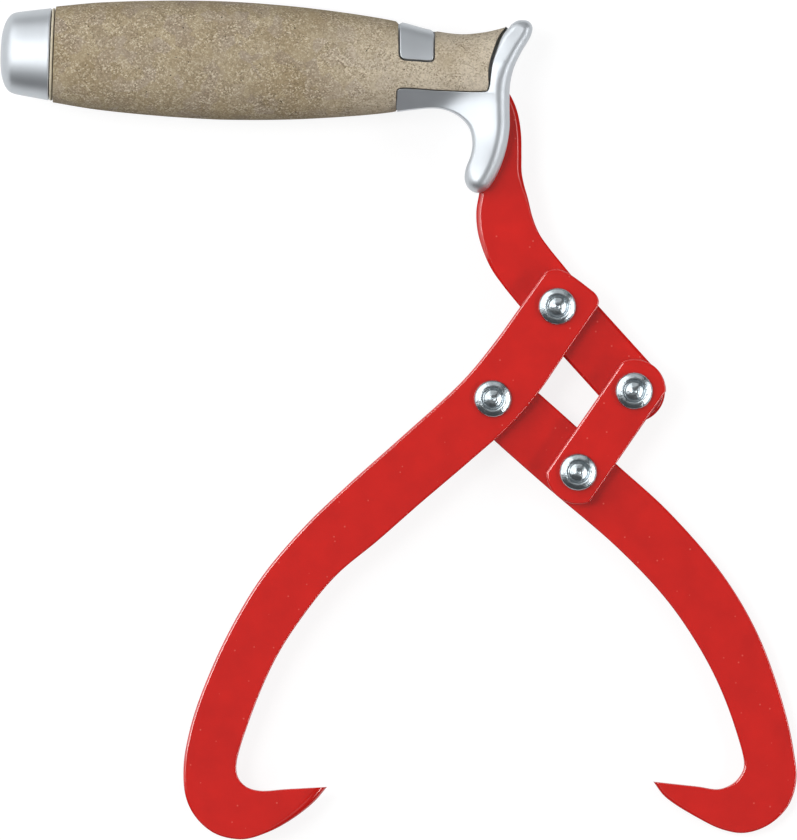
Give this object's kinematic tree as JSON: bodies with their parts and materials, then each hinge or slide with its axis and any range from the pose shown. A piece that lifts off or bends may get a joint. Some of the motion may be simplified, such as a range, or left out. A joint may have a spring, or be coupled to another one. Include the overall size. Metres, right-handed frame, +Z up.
{
  "type": "log lifting tongs",
  "caption": "Hand tongs for lifting logs: hooked arms and a short link pivot on a handle arm that carries a cast guard with a finger rest, an oval cork grip and an end cap.",
  "frame": {"origin": "bottom centre of the bounding box, on the surface that the tongs lie on", "axes": "+Z up from that surface, with the tongs lying on the grip's belly and the right hook's heel; +Y from the hooks towards the grip; +X from the end cap towards the guard"},
  "size_m": [0.2548, 0.2684, 0.0301],
  "materials": {
    "painted_steel": "gloss red coating",
    "zinc_rivet": "bright zinc plated",
    "cast_aluminium": "satin, tumbled casting",
    "cork": "pressed cork, sanded",
    "cream_fibre": "matte",
    "plain_steel": "plain"
  },
  "bodies": {
    "handle": {"handle_arm": "painted_steel", "guard_casting": "cast_aluminium", "cork_grip": "cork", "cap_ring": "cream_fibre", "tang_washer": "plain_steel", "tang_nut": "plain_steel", "end_cap": "cast_aluminium", "rivet_handle_left": "zinc_rivet", "rivet_handle_link": "zinc_rivet"},
    "left_arm": {"left_hook_arm": "painted_steel", "rivet_left_right": "zinc_rivet"},
    "right_arm": {"right_hook_arm": "painted_steel"},
    "link": {"short_link": "painted_steel", "rivet_link_right": "zinc_rivet"}
  },
  "joints": [
    {"name": "left_arm_pivot", "type": "hinge", "parent": "handle", "child": "left_arm", "pos_m": [0.05085, 0.0362, 0.0129], "axis": [-0.0153, 0.0404, -0.9991], "range_deg": [-40, 42]},
    {"name": "link_pivot", "type": "hinge", "parent": "handle", "child": "link", "pos_m": [0.07536, 0.00919, 0.01143], "axis": [-0.0153, 0.0404, -0.9991], "range_deg": [-45, 47.25]},
    {"name": "right_arm_pivot", "type": "hinge", "parent": "left_arm", "child": "right_arm", "pos_m": [0.0302, 0.00673, 0.01202], "axis": [-0.0153, 0.0404, -0.9991], "range_deg": [-42, 40]}
  ],
  "couplings": [
    {"joint": "link_pivot", "follows": "left_arm_pivot", "ratio": 1.125},
    {"joint": "right_arm_pivot", "follows": "left_arm_pivot", "ratio": -1}
  ]
}
